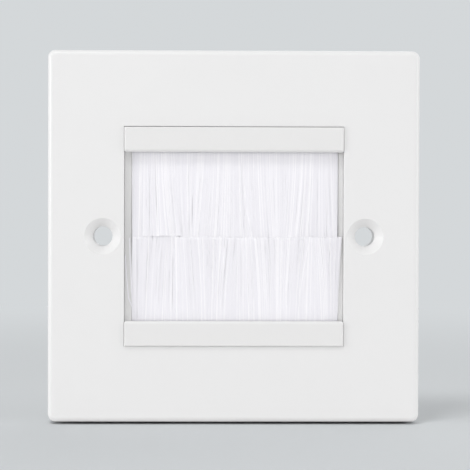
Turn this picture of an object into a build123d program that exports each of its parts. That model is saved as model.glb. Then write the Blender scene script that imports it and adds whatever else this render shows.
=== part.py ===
"""Cable pass-through wall plate: a square moulded face plate with a brush insert in its middle.

Millimetres. +X is to the right as seen from the front, the front faces -Y and +Z is up.
The origin is the centre of the plate on the wall plane, midway between the two fixing holes.
"""

import os
from math import cos, pi, radians, sin, tan

from build123d import *

# Face plate
plate_width = 86.0
plate_height = 86.0
plate_depth = 8.0
plate_corner_radius = 1.7
side_draft = 5.0
front_edge_radius = 1.1
front_wall = 2.4
rim_wall = 2.0
pocket_corner_radius = 1.0

# Fixing holes, countersunk from the front, each in a boss that stands on the wall
screw_spacing = 60.0
screw_hole_diameter = 4.5
countersink_diameter = 8.3
countersink_angle = 90.0
boss_diameter = 9.5
web_thickness = 1.2
web_setback = 0.8

# Aperture of the plate, with a collar behind it and a ledge that the insert sits on
aperture_edge_radius = 0.2
collar_wall = 1.8
collar_setback = 0.6
ledge_thickness = 1.2
ledge_reach = 1.15

# Brush frame: two bars joined by thin side rails, clipped into the aperture from the front.
# Its weight takes up the clearance below it, all but the seat gap.
frame_width = 50.0
frame_height = 50.0
frame_clearance = 0.06
frame_seat_gap = 0.01
frame_proud = 0.6
bar_height = 5.7
bar_edge_radius = 0.3
bar_mouth_radius = 0.7
left_rail_width = 1.6
right_rail_width = 1.1
rail_recess = 2.4

# Spring tongues on the back of the bars, hooked behind the ledge
tongue_spacing = 26.0
tongue_width = 8.0
tongue_thickness = 1.2
tongue_length = 4.2
hook_reach = 0.6
hook_clearance = 0.1

# Groove in each bar for a brush strip, closed at its left end and open at its right end
groove_front_wall = 1.3
groove_lip = 0.6
groove_mouth = 2.8
groove_end_wall = 1.7
strip_recess = 1.25
strip_clearance = 0.05

# Brush strip: a steel channel crimped over bristles that are folded round a core wire
channel_width = 4.0
channel_height = 3.85
channel_wall = 0.5
channel_bend_radius = 0.6
channel_mouth = 2.6
crimp_height = 1.5
wire_diameter = 1.2
bristle_clearance = 0.05
bristle_tip_thickness = 3.6
seam_gap = 0.3

# Tufts that the bristles gather into
tuft_pitch = 0.8
tuft_gap = 0.16
tuft_split = 13.0
split_variation = 3.0
tip_variation = 0.3
tuft_lean = 0.35
lean_wavelength = 11.0
tip_phase_step = 2.4
split_phase_step = 1.7

# Worked out from the sizes above
front_y = -plate_depth
inner_front_y = front_y + front_wall
collar_back_y = -collar_setback
seat_y = collar_back_y - ledge_thickness
aperture_width = frame_width + 2 * frame_clearance
aperture_height = frame_height + 2 * frame_clearance
ledge_opening_width = aperture_width - 2 * ledge_reach
ledge_opening_height = aperture_height - 2 * ledge_reach

frame_drop = frame_clearance - frame_seat_gap
bar_top = frame_height / 2
bar_bottom = bar_top - bar_height
bar_front_y = front_y - frame_proud

groove_depth = channel_width + 2 * strip_clearance
groove_front_y = bar_front_y + groove_front_wall
strip_y = groove_front_y + groove_depth / 2
groove_left = -frame_width / 2 + groove_end_wall
strip_left = groove_left + strip_clearance
strip_right = frame_width / 2 - strip_recess
channel_bottom = bar_bottom + groove_lip + strip_clearance
channel_top = channel_bottom + channel_height

fold_radius = channel_width / 2 - channel_wall - bristle_clearance
wire_z = channel_top - channel_wall - bristle_clearance - fold_radius
bristle_mouth = channel_mouth - 2 * bristle_clearance
tip_z = seam_gap / 2
rail_front_y = bar_front_y + rail_recess


def block(x, y, z):
    """A box from three (low, high) pairs, in either order."""
    lows = [min(pair) for pair in (x, y, z)]
    sizes = [abs(pair[1] - pair[0]) for pair in (x, y, z)]
    return Pos(*lows) * Box(*sizes, align=(Align.MIN, Align.MIN, Align.MIN))


def along_x(profile, left, right):
    """A profile drawn in (Y, Z), run along X from left to right."""
    return extrude(Plane.YZ.offset(left) * profile, right - left)


def ring(outer_width, outer_height, inner_width, inner_height, back_y, front_y):
    """A square ring round the aperture, from back_y forward to front_y."""
    face = Rectangle(outer_width, outer_height) - Rectangle(inner_width, inner_height)
    return extrude(Plane.XZ.offset(-back_y) * face, back_y - front_y)


def drafted_block(width, height, depth, corner_radius):
    """A block from the wall plane forward, whose sides lean in by the draft."""
    inset = 2 * depth * tan(radians(side_draft))
    back = Plane.XZ * RectangleRounded(width, height, corner_radius)
    front = Plane.XZ.offset(depth) * RectangleRounded(width - inset, height - inset, corner_radius)
    return loft([back, front], ruled=True)


def screw_places():
    """Where the two fixing holes are, as X positions on the plate's middle line."""
    return (-screw_spacing / 2, screw_spacing / 2)


def collar_and_ledge():
    """The wall round the aperture and the ledge at its back that the frame sits on."""
    outer_width = aperture_width + 2 * collar_wall
    outer_height = aperture_height + 2 * collar_wall
    collar = ring(
        outer_width, outer_height, aperture_width, aperture_height, collar_back_y, inner_front_y
    )
    ledge = ring(
        outer_width, outer_height, ledge_opening_width, ledge_opening_height, collar_back_y, seat_y
    )
    return collar + ledge


def back_webs():
    """Webs inside the plate: two carry the collar's sides on to the rim, one joins each boss to it."""
    depth = (-web_setback, inner_front_y)
    webs = []
    for side in (-1, 1):
        collar_face = side * aperture_width / 2
        beyond = side * plate_width / 2
        upright = (collar_face, collar_face + side * collar_wall)
        for end in (-1, 1):
            run = (end * aperture_height / 2, end * plate_height / 2)
            webs.append(block(upright, depth, run))
        webs.append(
            block((side * screw_spacing / 2, beyond), depth, (-web_thickness / 2, web_thickness / 2))
        )
    return webs


def fixing_bosses():
    """A round boss behind each fixing hole, from the front wall to the wall plane."""
    boss = extrude(Circle(boss_diameter / 2), -inner_front_y)
    return [Plane.XZ * Pos(x, 0, 0) * boss for x in screw_places()]


def fixing_holes():
    """The countersunk holes, as solids to cut away."""
    sink_depth = (countersink_diameter - screw_hole_diameter) / 2 / tan(radians(countersink_angle / 2))
    bottom = (Align.CENTER, Align.CENTER, Align.MIN)
    hole = Cylinder(screw_hole_diameter / 2, plate_depth, align=bottom)
    sink = Pos(0, 0, plate_depth - sink_depth) * Cone(
        screw_hole_diameter / 2, countersink_diameter / 2, sink_depth, align=bottom
    )
    return [Plane.XZ * Pos(x, 0, 0) * (hole + sink) for x in screw_places()]


def face_plate():
    """The moulded plate: a hollow shell with the aperture, its collar, bosses and webs."""
    outer = drafted_block(plate_width, plate_height, plate_depth, plate_corner_radius)
    pocket = drafted_block(
        plate_width - 2 * rim_wall, plate_height - 2 * rim_wall, -inner_front_y, pocket_corner_radius
    )
    inside = collar_and_ledge()
    for piece in back_webs() + fixing_bosses():
        inside += piece
    rounded = fillet(outer.faces().sort_by(Axis.Y)[0].edges(), front_edge_radius)
    plate = (rounded - pocket) + (inside & outer)
    plate -= ring(aperture_width, aperture_height, 0, 0, seat_y, front_y)
    for hole in fixing_holes():
        plate -= hole
    return fillet(aperture_front_edges(plate), aperture_edge_radius)


def aperture_front_edges(plate):
    """The four straight edges where the aperture meets the front of the plate."""
    front = plate.faces().sort_by(Axis.Y)[0]
    reach = max(aperture_width, aperture_height) / 2 + aperture_edge_radius
    return [
        edge
        for edge in front.edges().filter_by(GeomType.LINE)
        if max(abs(edge.center().X), abs(edge.center().Z)) < reach
    ]


def frame_bar():
    """The upper bar of the frame, before its groove: its front edges are rounded."""
    half = frame_width / 2
    bar = block((-half, half), (bar_front_y, seat_y), (bar_bottom, bar_top))
    mouth_edge = bar.faces().sort_by(Axis.Y)[0].edges().sort_by(Axis.Z)[0]
    bar = fillet(mouth_edge, bar_mouth_radius)
    front_edges = bar.faces().sort_by(Axis.Y)[0].edges().sort_by(Axis.Z)[1:]
    return fillet(front_edges, bar_edge_radius)


def strip_groove():
    """The T-shaped space in the upper bar that a brush strip slides into from the right."""
    beyond = frame_width / 2 + groove_lip
    width = (groove_left, beyond)
    seat = block(
        width,
        (strip_y - groove_depth / 2, strip_y + groove_depth / 2),
        (bar_bottom + groove_lip, channel_top + strip_clearance),
    )
    mouth = block(
        width,
        (strip_y - groove_mouth / 2, strip_y + groove_mouth / 2),
        (bar_bottom - groove_lip, bar_bottom + groove_lip),
    )
    return seat + mouth


def spring_tongues():
    """The tongues behind the upper bar, with the hooks that catch behind the ledge."""
    outer_z = ledge_opening_height / 2 - hook_clearance
    inner_z = outer_z - tongue_thickness
    tip_y = seat_y + tongue_length
    catch_y = collar_back_y + hook_clearance
    profile = Polygon(
        (seat_y, inner_z),
        (tip_y, inner_z),
        (tip_y, outer_z),
        (catch_y, outer_z + hook_clearance + hook_reach),
        (catch_y, outer_z),
        (seat_y, outer_z),
        align=None,
    )
    tongue = along_x(profile, -tongue_width / 2, tongue_width / 2)
    return [Pos(side * tongue_spacing / 2, 0, 0) * tongue for side in (-1, 1)]


def side_rail(side, width):
    """A rail between the bars on one side."""
    outer = side * frame_width / 2
    return block((outer - side * width, outer), (rail_front_y, seat_y), (-bar_bottom, bar_bottom))


def brush_frame():
    """The moulded frame: both bars with their grooves and tongues, and the two side rails."""
    half_frame = frame_bar() - strip_groove()
    for tongue in spring_tongues():
        half_frame += tongue
    frame = half_frame + mirror(half_frame, Plane.XY)
    return frame + side_rail(-1, left_rail_width) + side_rail(1, right_rail_width)


def channel_profile():
    """Section of the crimped steel channel, open side down, centred on the strip."""
    half = channel_width / 2
    mouth = channel_mouth / 2
    bend_z = channel_bottom + crimp_height
    outer = Polygon(
        (-half, channel_top),
        (-half, bend_z),
        (-mouth - channel_wall, channel_bottom),
        (mouth + channel_wall, channel_bottom),
        (half, bend_z),
        (half, channel_top),
        align=None,
    )
    outer = fillet(outer.vertices().group_by(Axis.Y)[-1], channel_bend_radius)
    inner = Polygon(
        (-half + channel_wall, channel_top - channel_wall),
        (-half + channel_wall, bend_z),
        (-mouth, channel_bottom),
        (mouth, channel_bottom),
        (half - channel_wall, bend_z),
        (half - channel_wall, channel_top - channel_wall),
        align=None,
    )
    return outer - inner


def brush_channel():
    """The steel channel of the upper strip."""
    return along_x(Pos(strip_y, 0) * channel_profile(), strip_left, strip_right)


def core_wire():
    """The wire of the upper strip, inside the fold of the bristles."""
    return along_x(Pos(strip_y, wire_z) * Circle(wire_diameter / 2), strip_left, strip_right)


def bundle_profile():
    """Section of the bristles: folded over the wire, pinched at the mouth, open at the tips."""
    bend_z = channel_bottom + crimp_height
    mouth = bristle_mouth / 2
    legs = Polygon(
        (-fold_radius, wire_z),
        (-fold_radius, bend_z),
        (-mouth, channel_bottom),
        (-mouth, bar_bottom),
        (-bristle_tip_thickness / 2, 0),
        (bristle_tip_thickness / 2, 0),
        (mouth, bar_bottom),
        (mouth, channel_bottom),
        (fold_radius, bend_z),
        (fold_radius, wire_z),
        align=None,
    )
    centre = Pos(0, wire_z)
    return legs + centre * Circle(fold_radius) - centre * Circle(wire_diameter / 2 + bristle_clearance)


def tuft_outline(phase, first):
    """Front outline of one layer of bristles, split into tufts that lean and differ in length.

    The phase shifts the pattern, and first is the width of the first tuft in pitches.
    """
    length = strip_right - strip_left
    count = max(2, round(length / tuft_pitch))
    pitch = length / count
    wave = 2 * pi / lean_wavelength

    def lean(x):
        """How far a tip that starts at x has moved sideways, which is nothing at either end."""
        from_end = min(x - strip_left, strip_right - x)
        return tuft_lean * sin(wave * x + phase) * min(1, from_end / tuft_pitch)

    splits = [strip_left + (n + first) * pitch for n in range(count)]
    splits = [x for x in splits if x < strip_right - pitch / 4]
    root = wire_z + 2 * fold_radius
    points = [(strip_left, root), (strip_left, bar_bottom)]
    for n, (left, right) in enumerate(zip([strip_left] + splits, splits + [strip_right])):
        tip = tip_z + tip_variation * (0.5 + 0.5 * cos(phase + tip_phase_step * n))
        points.append((left + tuft_gap / 2 + lean(left), tip))
        points.append((right - tuft_gap / 2 + lean(right), tip))
        if right < strip_right:
            split = tuft_split + split_variation * sin(phase + split_phase_step * n)
            points.append((right + lean(right) * (1 - split / bar_bottom), split))
    points += [(strip_right, bar_bottom), (strip_right, root)]
    return Polygon(*points, align=None)


def bristles(phase):
    """All the bristles of the upper strip as one solid.

    Its front and back layers have their tufts half a pitch apart, so each closes the other's gaps.
    """
    bundle = along_x(Pos(strip_y, 0) * bundle_profile(), strip_left, strip_right)
    middle = Plane.XZ.offset(-strip_y)
    reach = max(channel_width, bristle_tip_thickness)
    front = extrude(middle * tuft_outline(phase, first=1), reach)
    back = extrude(middle * tuft_outline(phase, first=0.5), -reach)
    return (bundle & front) + (bundle & back)


def lower(shape):
    """The lower strip's copy of a piece made for the upper one."""
    return mirror(shape, Plane.XY)


os.makedirs("parts", exist_ok=True)
insert = {
    "brush_frame": brush_frame(),
    "upper_brush_channel": brush_channel(),
    "lower_brush_channel": lower(brush_channel()),
    "upper_core_wire": core_wire(),
    "lower_core_wire": lower(core_wire()),
    "upper_bristles": bristles(phase=0.6),
    "lower_bristles": lower(bristles(phase=2.9)),
}
pieces = {"face_plate": face_plate()}
for name, piece in insert.items():
    pieces[name] = Pos(0, 0, -frame_drop) * piece
for name, piece in pieces.items():
    export_step(piece, f"parts/{name}.step")
    print(name, "solids", len(piece.solids()), "volume", round(piece.volume, 1))
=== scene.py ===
"""Looks of a square wall plate whose middle opening is closed by two facing strip brushes.

Metres. The front faces -Y, +Z is up and the origin is the plate's centre on the wall plane.
Each part of the work is an operator, and the panel in the sidebar lists them in their order.
"""

import math

import bpy
import numpy as np
from bpy.props import FloatProperty, FloatVectorProperty, IntProperty, PointerProperty
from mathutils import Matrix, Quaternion, Vector


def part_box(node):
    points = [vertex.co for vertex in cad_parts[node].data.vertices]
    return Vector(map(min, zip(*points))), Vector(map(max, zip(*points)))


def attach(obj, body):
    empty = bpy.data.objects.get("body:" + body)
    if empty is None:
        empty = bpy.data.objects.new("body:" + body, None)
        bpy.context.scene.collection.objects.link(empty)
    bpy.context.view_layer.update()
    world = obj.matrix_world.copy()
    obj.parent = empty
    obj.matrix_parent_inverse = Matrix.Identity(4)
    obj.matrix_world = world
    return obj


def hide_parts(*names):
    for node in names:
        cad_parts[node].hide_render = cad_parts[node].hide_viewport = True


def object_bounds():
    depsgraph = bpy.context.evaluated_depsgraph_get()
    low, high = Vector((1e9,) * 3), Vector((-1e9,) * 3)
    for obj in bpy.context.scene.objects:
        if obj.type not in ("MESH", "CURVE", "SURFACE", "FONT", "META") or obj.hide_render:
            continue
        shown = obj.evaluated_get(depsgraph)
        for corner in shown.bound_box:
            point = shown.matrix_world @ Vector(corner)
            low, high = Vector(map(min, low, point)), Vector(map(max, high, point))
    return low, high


bl_info = {
    "name": "Brush wall plate",
    "version": (1, 0, 0),
    "blender": (4, 5, 0),
    "location": "View3D > Sidebar > Wall plate",
    "description": "Finishes the moulded plate and its frame, plants the brushes and sets the stage",
    "category": "Object",
}

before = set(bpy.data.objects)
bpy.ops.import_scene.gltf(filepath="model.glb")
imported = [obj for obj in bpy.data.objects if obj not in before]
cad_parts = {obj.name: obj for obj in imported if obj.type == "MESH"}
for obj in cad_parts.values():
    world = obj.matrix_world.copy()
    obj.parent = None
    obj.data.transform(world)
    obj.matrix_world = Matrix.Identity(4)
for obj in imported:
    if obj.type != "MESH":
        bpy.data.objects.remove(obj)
cad_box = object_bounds()
wire_low, wire_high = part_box("upper_core_wire")
bundle_low, bundle_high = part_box("upper_bristles")

MILLIMETRE = 0.001


def length_property(name, description, default_mm):
    """A length that a user may change, with its default in millimetres."""
    return FloatProperty(
        name=name,
        description=description,
        default=default_mm * MILLIMETRE,
        min=0.0,
        precision=5,
        unit="LENGTH",
    )


def share_property(name, description, default):
    """A share between none and all."""
    return FloatProperty(
        name=name, description=description, default=default, min=0.0, max=1.0, subtype="FACTOR"
    )


def colour_property(name, description, default):
    """A colour without its alpha."""
    return FloatVectorProperty(
        name=name, description=description, default=default, size=3, min=0.0, max=1.0, subtype="COLOR"
    )


def angle_property(name, description, default_degrees):
    """An angle, with its default in degrees."""
    return FloatProperty(
        name=name, description=description, default=math.radians(default_degrees), subtype="ANGLE"
    )


def power_property(name, description, default):
    """A lamp's power in watts."""
    return FloatProperty(name=name, description=description, default=default, min=0.0, subtype="POWER")


class BrushSettings(bpy.types.PropertyGroup):
    """Filaments of the two strip brushes."""

    rows: IntProperty(
        name="Rows", description="Rows of filaments on each side of the wire", default=7, min=1
    )
    row_pitch: length_property("Pitch", "Distance between the filaments of a row at their roots", 0.145)
    filament_diameter: length_property("Filament", "Diameter of a nylon filament", 0.26)
    mouth_height: length_property("Bar edge", "Height of the bars' inner edges from the middle", 19.3)
    mouth_thickness: length_property("Mouth", "Thickness of the bundle where it leaves its channel", 2.66)
    tuft_width: length_property("Tuft", "Usual width of the tufts that the tips gather into", 1.3)
    tuft_gather: share_property("Gather", "How far the tips of a tuft draw together", 0.1)
    tuft_lean: length_property("Lean", "How far whole tufts lean to either side at their tips", 1.3)
    lean_wavelength: length_property("Lean wave", "Distance over which the lean repeats", 16.0)
    tip_scatter: length_property("Tip scatter", "How far single tips stray from their tuft", 0.06)
    cut_scatter: length_property("Cut scatter", "How much filaments differ in length", 0.14)
    stray_share: share_property("Strays", "Share of the filaments that cross their neighbours", 0.06)
    stray_reach: length_property("Stray reach", "How far such a filament's tip wanders", 0.8)
    overlap: length_property("Overlap", "How far the tips behind reach past the middle", 0.9)
    step: length_property("Step", "How far one brush stands in front of the other at their tips", 0.23)
    end_round: length_property("End rounding", "Length over which the bundle thins towards its ends", 0.9)
    open_spread: length_property("Open end", "How far the lower brush spreads at its open end", 1.0)
    white: colour_property("Nylon", "Colour of the brightest filaments", (0.97, 0.96, 0.99))
    shade: colour_property("Nylon, darker", "Colour of the darkest filaments", (0.87, 0.86, 0.905))
    clearness: share_property("Clearness", "Share of the light that passes each wall of a filament", 0.93)


class PlasticSettings(bpy.types.PropertyGroup):
    """The two mouldings."""

    plate_colour: colour_property("Plate", "Colour of the face plate", (0.812, 0.81, 0.81))
    frame_colour: colour_property("Frame", "Colour of the brush frame", (0.789, 0.786, 0.784))
    roughness: share_property("Roughness", "Roughness of the moulded skin", 0.33)
    grain_size: length_property("Grain", "Size of the fine texture left by the mould", 0.12)
    flow_size: length_property("Flow marks", "Size of the faint clouds left by the flow", 14.0)


class MetalSettings(bpy.types.PropertyGroup):
    """Steel of the strips."""

    zinc_colour: colour_property("Zinc", "Colour of the plated channel", (0.60, 0.62, 0.64))
    zinc_roughness: share_property("Zinc roughness", "Roughness of the plated channel", 0.4)
    zinc_streaks: length_property("Zinc streaks", "Width of the streaks that rolling left", 0.3)
    wire_colour: colour_property("Wire", "Colour of the core wire", (0.52, 0.53, 0.54))
    wire_roughness: share_property("Wire roughness", "Roughness of the core wire", 0.3)
    wire_streaks: length_property("Wire streaks", "Width of the streaks that drawing left", 0.1)


class StudioSettings(bpy.types.PropertyGroup):
    """Floor, lamps and camera."""

    backdrop: colour_property("Backdrop", "Colour of the floor and the background", (0.66, 0.685, 0.70))
    bounce: colour_property("Bounce", "Colour of the light that the floor throws back", (0.88, 0.88, 0.88))
    ambient: FloatProperty(name="Ambient", description="Light from all round", default=0.6, min=0.0)
    above_power: power_property("Above", "Power of the lamp above the plate", 3.45)
    left_power: power_property("Left", "Power of the lamp at the left", 3.7)
    right_power: power_property("Right", "Power of the soft lamp at the right", 3.95)
    back_power: power_property("Back", "Power of the wide lamp behind the plate", 2.5)
    camera_distance: length_property("Distance", "From the camera to the point it aims at", 438.0)
    camera_azimuth: angle_property("Azimuth", "Camera's angle round the plate", -1.2)
    camera_elevation: angle_property("Elevation", "Camera's angle above the plate", 0.9)
    camera_roll: angle_property("Roll", "Camera's turn about its line of sight", 0.15)
    camera_lens: FloatProperty(
        name="Lens",
        description="Focal length in millimetres",
        default=144.4,
        min=1.0,
        subtype="DISTANCE_CAMERA",
    )
    camera_aim: FloatVectorProperty(
        name="Aim",
        description="Point that the camera looks at",
        default=(0.39 * MILLIMETRE, 0.0, 0.23 * MILLIMETRE),
        size=3,
        precision=5,
        unit="LENGTH",
    )


class WallPlateSettings(bpy.types.PropertyGroup):
    """Everything that a user would change."""

    brush: PointerProperty(type=BrushSettings)
    plastic: PointerProperty(type=PlasticSettings)
    metal: PointerProperty(type=MetalSettings)
    studio: PointerProperty(type=StudioSettings)


# Node tools


def add_node(tree, kind, settings=None, **inputs):
    """A node of this kind with its settings, and values or links for its inputs.

    An input goes by its name, with _ for a space, or by its number, as in _0 for the first.
    """
    node = tree.nodes.new(kind)
    for name, value in (settings or {}).items():
        setattr(node, name, value)
    for name, value in inputs.items():
        socket = node.inputs[int(name[1:]) if name[1:].isdigit() else name.replace("_", " ")]
        if isinstance(value, bpy.types.NodeSocket):
            tree.links.new(value, socket)
        else:
            socket.default_value = value
    return node


def object_place(tree):
    """The point on the piece, in metres, in the frame that the whole model shares."""
    return tree.nodes.new("ShaderNodeTexCoord").outputs["Object"]


def scaled_place(tree, place, scale):
    """The place multiplied by a scale for each axis."""
    return add_node(tree, "ShaderNodeVectorMath", {"operation": "MULTIPLY"}, _0=place, _1=scale).outputs[0]


def remap(tree, value, low, high):
    """A value from 0 to 1 spread between low and high."""
    return add_node(tree, "ShaderNodeMapRange", Value=value, To_Min=low, To_Max=high).outputs["Result"]


def scale_for(tree, size):
    """The scale that gives a texture marks of this size."""
    return add_node(tree, "ShaderNodeMath", {"operation": "DIVIDE"}, _0=1.0, _1=size).outputs[0]


def mix_colours(tree, factor, first, second):
    """First where the factor is 0, second where it is 1."""
    node = add_node(tree, "ShaderNodeMix", {"data_type": "RGBA"}, Factor=factor)
    sockets = [s for s in node.inputs if s.type == "RGBA"]
    for socket, colour in zip(sockets, (first, second)):
        socket.default_value = (*colour, 1.0)
    return next(s for s in node.outputs if s.type == "RGBA")


def new_group(name, inputs, outputs):
    """An empty node group with named sockets, and its input and output nodes."""
    group = bpy.data.node_groups.new(name, "ShaderNodeTree")
    for socket, kind in inputs:
        group.interface.new_socket(socket, in_out="INPUT", socket_type=kind)
    for socket, kind in outputs:
        group.interface.new_socket(socket, in_out="OUTPUT", socket_type=kind)
    return group, group.nodes.new("NodeGroupInput"), group.nodes.new("NodeGroupOutput")


def use_group(tree, group, **inputs):
    """The group as a node of this tree."""
    node = tree.nodes.new("ShaderNodeGroup")
    node.node_tree = group
    for name, value in inputs.items():
        socket = node.inputs[name.replace("_", " ")]
        if isinstance(value, bpy.types.NodeSocket):
            tree.links.new(value, socket)
        else:
            socket.default_value = value
    return node.outputs


GRAIN_DETAIL = 2.0
GRAIN_HARSHNESS = 0.6
CLOUD_DETAIL = 3.0
CLOUD_HARSHNESS = 0.45
CLOUD_TWIST = 0.6


def moulded_skin():
    """Surface of an injection moulding: fine grain and the faint clouds of its flow."""
    group, given, result = new_group(
        "Moulded skin",
        [("Place", "NodeSocketVector"), ("Grain Size", "NodeSocketFloat"), ("Flow Size", "NodeSocketFloat")],
        [("Grain", "NodeSocketFloat"), ("Clouds", "NodeSocketFloat")],
    )
    grain = add_node(
        group,
        "ShaderNodeTexNoise",
        Vector=given.outputs["Place"],
        Scale=scale_for(group, given.outputs["Grain Size"]),
        Detail=GRAIN_DETAIL,
        Roughness=GRAIN_HARSHNESS,
    )
    clouds = add_node(
        group,
        "ShaderNodeTexNoise",
        Vector=given.outputs["Place"],
        Scale=scale_for(group, given.outputs["Flow Size"]),
        Detail=CLOUD_DETAIL,
        Roughness=CLOUD_HARSHNESS,
        Distortion=CLOUD_TWIST,
    )
    group.links.new(grain.outputs[0], result.inputs["Grain"])
    group.links.new(clouds.outputs[0], result.inputs["Clouds"])
    return group


# Streaks run along X, as the pattern is stretched that way
STREAK_STRETCH = (0.02, 1.0, 1.0)
STREAK_DETAIL = 4.0
PATCH_SCALE = 900.0


def drawn_streaks():
    """Surface of drawn or rolled steel: streaks along X and patches of dull plating."""
    group, given, result = new_group(
        "Drawn streaks",
        [("Place", "NodeSocketVector"), ("Streak Width", "NodeSocketFloat")],
        [("Streaks", "NodeSocketFloat"), ("Patches", "NodeSocketFloat")],
    )
    streaks = add_node(
        group,
        "ShaderNodeTexNoise",
        Vector=scaled_place(group, given.outputs["Place"], STREAK_STRETCH),
        Scale=scale_for(group, given.outputs["Streak Width"]),
        Detail=STREAK_DETAIL,
    )
    patches = add_node(
        group,
        "ShaderNodeTexVoronoi",
        {"feature": "SMOOTH_F1"},
        Vector=given.outputs["Place"],
        Scale=PATCH_SCALE,
    )
    group.links.new(streaks.outputs[0], result.inputs["Streaks"])
    group.links.new(patches.outputs["Distance"], result.inputs["Patches"])
    return group


def new_material(name):
    """A material with its tree and its Principled shader."""
    material = bpy.data.materials.new(name)
    material.use_nodes = True
    shader = next(n for n in material.node_tree.nodes if n.type == "BSDF_PRINCIPLED")
    return material, material.node_tree, shader


PLASTIC_IOR = 1.49
# Tone of the darkest clouds, and how far all clouds change the roughness
CLOUD_TONE = 0.985
CLOUD_ROUGHNESS = 0.04
GRAIN_STRENGTH = 0.25
GRAIN_DEPTH = 0.01 * MILLIMETRE


def moulded_plastic(name, group, colour, settings):
    """White thermoplastic with a satin skin."""
    material, tree, shader = new_material(name)
    skin = use_group(
        tree,
        group,
        Place=object_place(tree),
        Grain_Size=settings.grain_size,
        Flow_Size=settings.flow_size,
    )
    darker = [channel * CLOUD_TONE for channel in colour]
    tree.links.new(mix_colours(tree, skin["Clouds"], darker, colour), shader.inputs["Base Color"])
    spread = remap(
        tree, skin["Clouds"], settings.roughness - CLOUD_ROUGHNESS, settings.roughness + CLOUD_ROUGHNESS
    )
    tree.links.new(spread, shader.inputs["Roughness"])
    bump = add_node(
        tree, "ShaderNodeBump", Strength=GRAIN_STRENGTH, Distance=GRAIN_DEPTH, Height=skin["Grain"]
    )
    tree.links.new(bump.outputs[0], shader.inputs["Normal"])
    shader.inputs["IOR"].default_value = PLASTIC_IOR
    return material


STREAK_TONE = 0.8
STREAK_STRENGTH = 0.3
STREAK_DEPTH = 0.02 * MILLIMETRE
PATCH_ROUGHNESS = (-0.08, 0.12)


def strip_steel(name, group, colour, roughness, streak_width):
    """Bare or plated steel, drawn or rolled along X."""
    material, tree, shader = new_material(name)
    marks = use_group(tree, group, Place=object_place(tree), Streak_Width=streak_width)
    darker = [channel * STREAK_TONE for channel in colour]
    tree.links.new(mix_colours(tree, marks["Streaks"], darker, colour), shader.inputs["Base Color"])
    least, most = (roughness + change for change in PATCH_ROUGHNESS)
    tree.links.new(remap(tree, marks["Patches"], least, most), shader.inputs["Roughness"])
    bump = add_node(
        tree, "ShaderNodeBump", Strength=STREAK_STRENGTH, Distance=STREAK_DEPTH, Height=marks["Streaks"]
    )
    tree.links.new(bump.outputs[0], shader.inputs["Normal"])
    shader.inputs["Metallic"].default_value = 1.0
    return material


NYLON_IOR = 1.53
NYLON_ROUGHNESS = (0.3, 0.45)
# Fine lines that drawing left along the filaments, which stand along Z
LINE_STRETCH = (1.0, 1.0, 0.08)
LINE_SCALE = 16000.0
LINE_DETAIL = 2.0
LINE_STRENGTH = 0.2
LINE_DEPTH = 0.01 * MILLIMETRE
# Filament diameters within which light from the neighbours passes through
NEIGHBOUR_REACH = 6.0


def nylon(settings):
    """Translucent white nylon whose filaments differ a little in tone.

    Light from the lamps, and from close by within the brush, passes through to the inner filaments.
    """
    material, tree, shader = new_material("white_nylon")
    tone = add_node(tree, "ShaderNodeAttribute", {"attribute_name": "filament_tone"}).outputs["Fac"]
    tree.links.new(mix_colours(tree, tone, settings.shade, settings.white), shader.inputs["Base Color"])
    place = scaled_place(tree, object_place(tree), LINE_STRETCH)
    lines = add_node(
        tree, "ShaderNodeTexNoise", Vector=place, Scale=LINE_SCALE, Detail=LINE_DETAIL
    ).outputs[0]
    tree.links.new(remap(tree, lines, *NYLON_ROUGHNESS), shader.inputs["Roughness"])
    bump = add_node(tree, "ShaderNodeBump", Strength=LINE_STRENGTH, Distance=LINE_DEPTH, Height=lines)
    tree.links.new(bump.outputs[0], shader.inputs["Normal"])
    shader.inputs["IOR"].default_value = NYLON_IOR
    light = tree.nodes.new("ShaderNodeLightPath")
    clear = add_node(tree, "ShaderNodeBsdfTransparent", Color=(*[settings.clearness] * 3, 1.0))
    near = add_node(
        tree,
        "ShaderNodeMath",
        {"operation": "LESS_THAN"},
        _0=light.outputs["Ray Length"],
        _1=NEIGHBOUR_REACH * settings.filament_diameter,
    )
    surface = shader.outputs[0]
    passed = add_node(
        tree, "ShaderNodeMixShader", _0=near.outputs[0], _1=surface, _2=clear.outputs[0]
    )
    for ray, through in (("Is Diffuse Ray", passed), ("Is Shadow Ray", clear)):
        mixed = add_node(
            tree, "ShaderNodeMixShader", _0=light.outputs[ray], _1=surface, _2=through.outputs[0]
        )
        surface = mixed.outputs[0]
    output = next(n for n in tree.nodes if n.type == "OUTPUT_MATERIAL")
    tree.links.new(surface, output.inputs["Surface"])
    return material


def finish_node(name, material):
    """Gives a carried-over node its material."""
    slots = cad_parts[name].material_slots
    if not slots:
        raise RuntimeError(f"{name} has no material slot")
    for slot in slots:
        slot.material = material


# Brush filaments

SEED = 8
FILAMENT_SIDES = 3
# Rings of points along each leg, from its tip at 1 to the channel's mouth at 0, and round the wire
LEG_SHARES = (1.0, 0.97, 0.7, 0.35, 0.0)
LEG_RINGS = len(LEG_SHARES)
ARC_RINGS = 5
RINGS = 2 * LEG_RINGS + ARC_RINGS
# The innermost row's distance from the middle of the mouth
ROOT_INSET = 0.1 * MILLIMETRE
# Share of its own roundness in a filament's shading, which otherwise is as flat as its row
ROUND_SHARE = 0.15
UPPER_TIP_LIFT = 0.2
LOWER_TIP_LIFT = 0.8
# Scatter of the roots in rows and pitches, and of the filaments' turn in radians
ROW_SCATTER = 0.12
FACET_SCATTER = 0.1
# The higher, the fewer bright filaments
TONE_SKEW = 3.0
# Half the lengths of the waves that make tufts, in tufts, and how their lengths and reach vary
SWAY_STEPS = (1.0, 1.7, 2.6, 4.3)
SWAY_STEP_RANGE = (0.8, 1.2)
SWAY_REACH_RANGE = (0.6, 1.4)
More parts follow.
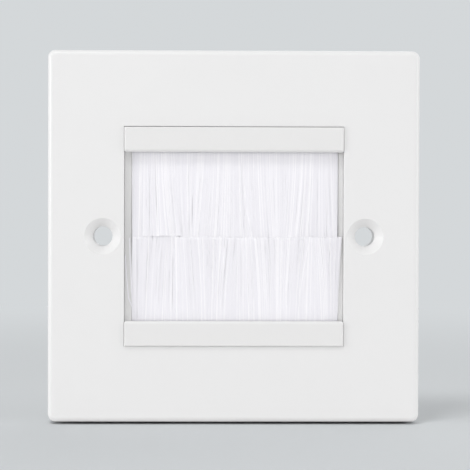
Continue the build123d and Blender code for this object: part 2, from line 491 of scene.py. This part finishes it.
# How the lean's wavelength varies, and where each row and each brush starts in its wave, in radians
LEAN_WAVE_RANGE = (0.7, 1.3)
LEAN_ROW_PHASE = 2
UPPER_LEAN_PHASE = 0.6
LOWER_LEAN_PHASE = 2.9
# Tufts at each end over which the tips steady
STEADY_TUFTS = 2
# The higher, the nearer to its tip a filament bends sideways
TIP_BEND = 1.5
# How far the cut follows the sway
CUT_SWAY = 0.6
# Thickness of the bundle at its very ends, as a share of the mouth
END_THICKNESS = 0.8
# Depth beyond which filaments spread at the open end, and the length of bundle that does
SPREADING_DEPTH = 0.6
SPREAD_LENGTH = 3 * MILLIMETRE
# Where the upper tips lap over the lower ones along X, and the ramps at both ends of that
LAPPED_STRETCH = (-20.3 * MILLIMETRE, -13.4 * MILLIMETRE)
LAP_RAMP = 1.2 * MILLIMETRE
# Steps in front elsewhere, below 0 because they stand behind
BEHIND = -0.4
# Tips of the loose filaments in millimetres, before the lower brush is mirrored, and their bend
LOOSE_TIPS = ((-23.85, -6.55, 0.3), (-24.85, -6.6, 4.2))
LOOSE_BEND = 0.3


def model_filament(diameter):
    """One filament, modelled straight and upright, with a ring of points for each place on its path."""
    bpy.ops.object.select_all(action="DESELECT")
    bpy.ops.mesh.primitive_cylinder_add(
        vertices=FILAMENT_SIDES, radius=diameter / 2, depth=RINGS - 1, location=(0, 0, (RINGS - 1) / 2)
    )
    filament = bpy.context.object
    bpy.ops.object.mode_set(mode="EDIT")
    bpy.ops.mesh.select_mode(type="EDGE")
    bpy.ops.mesh.select_all(action="DESELECT")
    bpy.ops.object.mode_set(mode="OBJECT")
    points = filament.data.vertices
    for edge in filament.data.edges:
        low, high = (points[n].co.z for n in edge.vertices)
        edge.select = abs(high - low) > 0.5
    bpy.ops.object.mode_set(mode="EDIT")
    bpy.ops.mesh.subdivide(number_cuts=RINGS - 2)
    bpy.ops.object.mode_set(mode="OBJECT")
    bpy.ops.object.transform_apply(location=True, rotation=True, scale=True)
    return filament


def sway(rng, settings, places):
    """How far the tips of one layer have moved sideways: an irregular wave that makes tufts."""
    moved = np.zeros(len(places))
    for step in SWAY_STEPS:
        wavelength = 2 * step * settings.tuft_width * rng.uniform(*SWAY_STEP_RANGE)
        reach = settings.tuft_gather * wavelength / (2 * math.pi) * rng.uniform(*SWAY_REACH_RANGE)
        moved += reach * np.sin(2 * math.pi * (places / wavelength + rng.random()))
    return moved


def leg_tips(rng, settings, roots, row, lean_phase):
    """Where the tips of one side's legs end up along X, given their roots and rows."""
    moved = np.zeros(len(roots))
    for number in range(settings.rows):
        mine = row == number
        turns = roots[mine] / (settings.lean_wavelength * rng.uniform(*LEAN_WAVE_RANGE))
        lean = settings.tuft_lean * np.sin(2 * math.pi * turns + lean_phase + LEAN_ROW_PHASE * number)
        moved[mine] = lean + sway(rng, settings, roots[mine])
    moved += rng.normal(0, settings.tip_scatter, len(roots))
    stray = rng.random(len(roots)) < settings.stray_share
    moved[stray] += rng.normal(0, settings.stray_reach, stray.sum())
    from_end = np.minimum(roots - wire_low.x, wire_high.x - roots)
    moved *= np.clip(from_end / (STEADY_TUFTS * settings.tuft_width), 0, 1)
    reach = settings.filament_diameter / 2
    return np.clip(roots + moved, wire_low.x + reach, wire_high.x - reach)


def filament_paths(rng, settings, lean_phase, in_front, open_spread=0.0):
    """Paths of all filaments of the upper strip: (filament, ring, XYZ), front tip to back tip.

    in_front(x) says how far this brush's tips stand in front of the other's, as a share of the step,
    and is less than 0 where they stand behind. At the right end the outer rows in front spread
    sideways by open_spread, or else the bundle thins there as it does at its left end.
    """
    # Depth of each filament, from 0 at the wire, and its root, half a pitch along in every other row
    row_length = wire_high.x - wire_low.x
    columns = round(row_length / settings.row_pitch)
    row, column = (n.ravel() for n in np.meshgrid(range(settings.rows), range(columns), indexing="ij"))
    count = len(row)
    depth = (row + 0.5 + rng.uniform(-ROW_SCATTER, ROW_SCATTER, count)) / settings.rows
    place = column + 0.25 + 0.5 * (row % 2) + rng.uniform(-ROW_SCATTER, ROW_SCATTER, count)
    roots = wire_low.x + row_length * place / columns

    # Radius of each fold round the wire, and each leg's distance from the middle at the mouth
    middle_y = (wire_low.y + wire_high.y) / 2
    middle_z = (wire_low.z + wire_high.z) / 2
    wire_radius = (wire_high.z - wire_low.z) / 2
    fold_reach = bundle_high.z - middle_z
    fold = wire_radius + settings.filament_diameter / 2
    fold = fold + depth * (fold_reach - settings.filament_diameter / 2 - fold)
    mouth = ROOT_INSET + depth * (settings.mouth_thickness / 2 - ROOT_INSET - settings.filament_diameter / 2)

    # Spread at the open end, and thinning at the others
    near_right = np.clip(1 - (wire_high.x - roots) / SPREAD_LENGTH, 0, 1) ** 2
    spreading = (depth > SPREADING_DEPTH) * open_spread * near_right
    from_end = roots - wire_low.x
    if open_spread == 0:
        from_end = np.minimum(from_end, wire_high.x - roots)
    thinning = np.sqrt(1 - (1 - np.clip(from_end / settings.end_round, 0, 1)) ** 2)
    mouth = mouth * (END_THICKNESS + (1 - END_THICKNESS) * thinning)

    paths = np.zeros((count, RINGS, 3))
    tip_reach = (bundle_high.y - bundle_low.y) / 2
    for side, rings in ((-1, range(LEG_RINGS)), (1, range(RINGS - 1, RINGS - 1 - LEG_RINGS, -1))):
        tips = leg_tips(rng, settings, roots, row, lean_phase)
        tips += spreading * (side < 0)
        front = in_front(roots)
        cut = np.abs(rng.normal(0, settings.cut_scatter, count))
        cut += CUT_SWAY * np.abs(sway(rng, settings, roots))
        tip_z = cut - settings.overlap * (front < 0)
        tip_y = side * mouth * tip_reach / (settings.mouth_thickness / 2) - settings.step * front
        tip_y += rng.normal(0, settings.tip_scatter, count)
        bow = rng.normal(0, settings.tip_scatter, count)
        for share, ring in zip(LEG_SHARES, rings):
            bend = share**TIP_BEND
            paths[:, ring, 0] = roots + (tips - roots) * bend + bow * math.sin(math.pi * share)
            paths[:, ring, 1] = middle_y + side * mouth * (1 - share) + tip_y * share
            paths[:, ring, 2] = settings.mouth_height + (tip_z - settings.mouth_height) * share
    for number, angle in enumerate(np.linspace(math.pi, 0, ARC_RINGS)):
        ring = LEG_RINGS + number
        paths[:, ring, 0] = roots
        paths[:, ring, 1] = middle_y + fold * math.cos(angle)
        paths[:, ring, 2] = middle_z + fold * math.sin(angle)
    return paths


def upper_in_front(x):
    """How far the upper tips stand in front of the lower ones, in steps."""
    start, end = LAPPED_STRETCH
    inside = np.clip(np.minimum(x - start, end - x) / LAP_RAMP + 0.5, 0, 1)
    return BEHIND + (1 - BEHIND) * inside


def lower_in_front(x):
    """How far the lower tips stand in front of the upper ones, in steps."""
    return -upper_in_front(x)


def loosen(settings, paths):
    """Bends single filaments of the outermost row, near the left end, out in front of the rail."""
    columns = len(paths) // settings.rows
    first = len(paths) - columns + math.ceil(settings.end_round / settings.row_pitch)
    for number, tip in enumerate(LOOSE_TIPS):
        leg = paths[first + number, :LEG_RINGS]
        root = leg[-1].copy()
        way = np.array(tip) * MILLIMETRE - root
        for ring, share in enumerate(LEG_SHARES):
            leg[ring] = root + way * (share**LOOSE_BEND, share**LOOSE_BEND, share)


def plant(name, filament, paths, facing_turn, tip_lift, rng, material, node):
    """A piece with one bent copy of the modelled filament on each path.

    Its shading turns upwards by tip_lift at the tips, as their cut ends catch the light from above.
    """
    template = np.array([v.co for v in filament.data.vertices])
    ring = np.rint(template[:, 2]).astype(int)
    faces = [tuple(f.vertices) for f in filament.data.polygons]
    count = len(paths)
    run = np.gradient(paths, axis=1)
    across = np.array([1.0, 0.0, 0.0])
    away = np.cross(run, across)
    away /= np.linalg.norm(away, axis=2, keepdims=True)
    turn = facing_turn + rng.normal(0, FACET_SCATTER, count)
    sideways = np.outer(np.cos(turn), template[:, 0]) - np.outer(np.sin(turn), template[:, 1])
    outwards = np.outer(np.sin(turn), template[:, 0]) + np.outer(np.cos(turn), template[:, 1])
    radial = sideways[:, :, None] * across + outwards[:, :, None] * away[:, ring]
    points = paths[:, ring] + radial
    size = len(template)
    mesh = bpy.data.meshes.new(name)
    mesh.from_pydata(
        points.reshape(-1, 3).tolist(),
        [],
        [[n * size + v for v in face] for n in range(count) for face in faces],
    )
    tones = mesh.attributes.new("filament_tone", "FLOAT", "POINT")
    tones.data.foreach_set("value", np.repeat(rng.random(count) ** TONE_SKEW, size).astype(np.float32))
    mesh.shade_smooth()
    radial /= np.linalg.norm(radial, axis=2, keepdims=True)
    facing = -math.cos(facing_turn) * away[:, ring]
    normals = radial * ROUND_SHARE + facing * (1 - ROUND_SHARE)
    normals[:, (ring == 0) | (ring == RINGS - 1)] += (0, 0, tip_lift)
    normals /= np.linalg.norm(normals, axis=2, keepdims=True)
    mesh.normals_split_custom_set_from_vertices(normals.reshape(-1, 3).tolist())
    mesh.materials.append(material)
    piece = bpy.data.objects.new(name, mesh)
    bpy.context.scene.collection.objects.link(piece)
    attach(piece, "root")
    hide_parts(node)
    return piece


# Operators


class WALLPLATE_OT_finish_mouldings(bpy.types.Operator):
    """Give the face plate and the brush frame their moulded plastic"""

    bl_idname = "wallplate.finish_mouldings"
    bl_label = "Finish mouldings"

    def execute(self, context):
        settings = context.scene.wall_plate.plastic
        skin = moulded_skin()
        finish_node("face_plate", moulded_plastic("plate_plastic", skin, settings.plate_colour, settings))
        finish_node("brush_frame", moulded_plastic("frame_plastic", skin, settings.frame_colour, settings))
        return {"FINISHED"}


class WALLPLATE_OT_finish_strips(bpy.types.Operator):
    """Give the channels and core wires their steel"""

    bl_idname = "wallplate.finish_strips"
    bl_label = "Finish steel strips"

    def execute(self, context):
        settings = context.scene.wall_plate.metal
        streaks = drawn_streaks()
        zinc = strip_steel(
            "galvanised_steel", streaks, settings.zinc_colour, settings.zinc_roughness, settings.zinc_streaks
        )
        wire = strip_steel(
            "drawn_wire", streaks, settings.wire_colour, settings.wire_roughness, settings.wire_streaks
        )
        for side in ("upper", "lower"):
            finish_node(f"{side}_brush_channel", zinc)
            finish_node(f"{side}_core_wire", wire)
        return {"FINISHED"}


class WALLPLATE_OT_plant_brushes(bpy.types.Operator):
    """Plant the nylon filaments of both strip brushes"""

    bl_idname = "wallplate.plant_brushes"
    bl_label = "Plant brushes"

    def execute(self, context):
        settings = context.scene.wall_plate.brush
        material = nylon(settings)
        filament = model_filament(settings.filament_diameter)
        rng = np.random.default_rng(SEED)
        upper = filament_paths(rng, settings, UPPER_LEAN_PHASE, upper_in_front)
        plant("upper_filaments", filament, upper, 0.0, UPPER_TIP_LIFT, rng, material, "upper_bristles")
        lower = filament_paths(rng, settings, LOWER_LEAN_PHASE, lower_in_front, settings.open_spread)
        loosen(settings, lower)
        lower[:, :, 2] *= -1
        plant("lower_filaments", filament, lower, math.pi, LOWER_TIP_LIFT, rng, material, "lower_bristles")
        bpy.data.objects.remove(filament)
        return {"FINISHED"}


FLOOR_SIZE = 8.0
# The floor's tones, as shares of the backdrop's and of its own
FLOOR_GAIN = 0.9
FLOOR_GRAIN_TONE = 1.03
FLOOR_GRAIN_SCALE = 900.0
FLOOR_GRAIN_DETAIL = 3.0
FLOOR_ROUGHNESS = 0.9
# Distances from the plate's middle over which the floor fades into the background
FADE_START = 120 * MILLIMETRE
FADE_END = 500 * MILLIMETRE
# Places and sides of the lamps
ABOVE_PLACE = (-0.3, -0.57, 0.93)
LEFT_PLACE = (-1.0, -0.42, 0.1)
RIGHT_PLACE = (1.12, -0.4, 0.18)
BACK_PLACE = (0.45, 0.85, 0.65)
SHARP_LAMP = 0.35
SOFT_LAMP = 0.6
WIDE_LAMP = 1.2
CAMERA_REACH = (0.01, 20.0)


def blended_floor(settings):
    """Matt floor that fades into the background's own colour away from the plate."""
    material, tree, shader = new_material("pale_floor")
    shader.inputs["Roughness"].default_value = FLOOR_ROUGHNESS
    place = object_place(tree)
    grain = add_node(
        tree, "ShaderNodeTexNoise", Vector=place, Scale=FLOOR_GRAIN_SCALE, Detail=FLOOR_GRAIN_DETAIL
    ).outputs[0]
    lit = [channel * FLOOR_GAIN for channel in settings.backdrop]
    paler = [channel * FLOOR_GRAIN_TONE for channel in lit]
    shown = mix_colours(tree, grain, lit, paler)
    path = tree.nodes.new("ShaderNodeLightPath")
    thrown = add_node(tree, "ShaderNodeMix", {"data_type": "RGBA"}, Factor=path.outputs["Is Diffuse Ray"])
    first, second = (s for s in thrown.inputs if s.type == "RGBA")
    tree.links.new(shown, first)
    second.default_value = (*settings.bounce, 1.0)
    tree.links.new(next(s for s in thrown.outputs if s.type == "RGBA"), shader.inputs["Base Color"])
    distance = add_node(tree, "ShaderNodeVectorMath", {"operation": "LENGTH"}, _0=place).outputs["Value"]
    fade = add_node(
        tree,
        "ShaderNodeMapRange",
        {"interpolation_type": "SMOOTHSTEP"},
        Value=distance,
        From_Min=FADE_START,
        From_Max=FADE_END,
    )
    glow = add_node(tree, "ShaderNodeEmission", Color=(*settings.backdrop, 1.0), Strength=1.0)
    seen = add_node(
        tree,
        "ShaderNodeMath",
        {"operation": "MAXIMUM"},
        _0=path.outputs["Is Camera Ray"],
        _1=path.outputs["Is Glossy Ray"],
    )
    factor = add_node(
        tree, "ShaderNodeMath", {"operation": "MULTIPLY"}, _0=seen.outputs[0], _1=fade.outputs["Result"]
    )
    mixed = add_node(
        tree, "ShaderNodeMixShader", _0=factor.outputs[0], _1=shader.outputs[0], _2=glow.outputs[0]
    )
    output = next(n for n in tree.nodes if n.type == "OUTPUT_MATERIAL")
    tree.links.new(mixed.outputs[0], output.inputs["Surface"])
    return material


def surround(settings):
    """World that lights from all round and shows the plain backdrop colour to the camera."""
    world = bpy.data.worlds.new("Studio")
    world.use_nodes = True
    tree = world.node_tree
    tree.nodes.clear()
    path = tree.nodes.new("ShaderNodeLightPath")
    seen = path.outputs["Is Camera Ray"]
    for name in ("Is Glossy Ray", "Is Transmission Ray"):
        seen = add_node(
            tree, "ShaderNodeMath", {"operation": "MAXIMUM"}, _0=seen, _1=path.outputs[name]
        ).outputs[0]
    light = add_node(tree, "ShaderNodeBackground", Color=(1.0, 1.0, 1.0, 1.0), Strength=settings.ambient)
    shown = add_node(tree, "ShaderNodeBackground", Color=(*settings.backdrop, 1.0), Strength=1.0)
    mixed = add_node(tree, "ShaderNodeMixShader", _0=seen, _1=light.outputs[0], _2=shown.outputs[0])
    output = tree.nodes.new("ShaderNodeOutputWorld")
    tree.links.new(mixed.outputs[0], output.inputs["Surface"])
    bpy.context.scene.world = world


def add_lamp(name, place, size, power):
    """A square lamp that faces the plate's centre."""
    lamp = bpy.data.lights.new(name, "AREA")
    lamp.shape = "SQUARE"
    lamp.size = size
    lamp.energy = power
    holder = bpy.data.objects.new(name, lamp)
    holder.location = place
    holder.rotation_euler = (-Vector(place)).to_track_quat("-Z", "Y").to_euler()
    bpy.context.scene.collection.objects.link(holder)


def add_camera(settings):
    """The camera, a little left of the plate's middle and a little above it."""
    camera = bpy.data.cameras.new("Camera")
    camera.lens = settings.camera_lens
    camera.clip_start, camera.clip_end = CAMERA_REACH
    azimuth, elevation = settings.camera_azimuth, settings.camera_elevation
    back = Vector(
        (
            math.sin(azimuth) * math.cos(elevation),
            -math.cos(azimuth) * math.cos(elevation),
            math.sin(elevation),
        )
    )
    aim = Vector(settings.camera_aim)
    holder = bpy.data.objects.new("Camera", camera)
    holder.location = aim + back * settings.camera_distance
    holder.rotation_mode = "QUATERNION"
    turn = (-back).to_track_quat("-Z", "Y")
    holder.rotation_quaternion = turn @ Quaternion((0, 0, 1), settings.camera_roll)
    bpy.context.scene.collection.objects.link(holder)
    bpy.context.scene.camera = holder


class WALLPLATE_OT_set_stage(bpy.types.Operator):
    """Lay the floor, hang the lamps and place the camera"""

    bl_idname = "wallplate.set_stage"
    bl_label = "Set the stage"

    def execute(self, context):
        settings = context.scene.wall_plate.studio
        bpy.ops.object.select_all(action="DESELECT")
        bpy.ops.mesh.primitive_plane_add(size=FLOOR_SIZE, location=(0, 0, cad_box[0].z))
        floor = context.object
        floor.name = "floor"
        bpy.ops.object.transform_apply(location=True, rotation=True, scale=True)
        floor.data.materials.append(blended_floor(settings))
        surround(settings)
        add_lamp("Above", ABOVE_PLACE, SHARP_LAMP, settings.above_power)
        add_lamp("Left", LEFT_PLACE, SHARP_LAMP, settings.left_power)
        add_lamp("Right", RIGHT_PLACE, SOFT_LAMP, settings.right_power)
        add_lamp("Back", BACK_PLACE, WIDE_LAMP, settings.back_power)
        add_camera(settings)
        context.scene.view_settings.view_transform = "Standard"
        return {"FINISHED"}


STEPS = (
    WALLPLATE_OT_finish_mouldings,
    WALLPLATE_OT_finish_strips,
    WALLPLATE_OT_plant_brushes,
    WALLPLATE_OT_set_stage,
)


class WALLPLATE_PT_steps(bpy.types.Panel):
    """The steps in their order"""

    bl_idname = "WALLPLATE_PT_steps"
    bl_label = "Wall plate"
    bl_space_type = "VIEW_3D"
    bl_region_type = "UI"
    bl_category = "Wall plate"

    def draw(self, context):
        settings = context.scene.wall_plate
        for step in STEPS:
            self.layout.operator(step.bl_idname)
        for group in (settings.plastic, settings.metal, settings.brush, settings.studio):
            box = self.layout.box()
            for name in group.__annotations__:
                box.prop(group, name)


CLASSES = (
    BrushSettings,
    PlasticSettings,
    MetalSettings,
    StudioSettings,
    WallPlateSettings,
    *STEPS,
    WALLPLATE_PT_steps,
)


def register():
    """Adds the classes and the scene's settings."""
    for cls in CLASSES:
        bpy.utils.register_class(cls)
    bpy.types.Scene.wall_plate = PointerProperty(type=WallPlateSettings)


def unregister():
    """Takes the settings and the classes away again."""
    del bpy.types.Scene.wall_plate
    for cls in reversed(CLASSES):
        bpy.utils.unregister_class(cls)


def main():
    """Runs every step."""
    register()
    for step in STEPS:
        group, name = step.bl_idname.split(".")
        getattr(getattr(bpy.ops, group), name)()


if __name__ == "__main__":
    main()
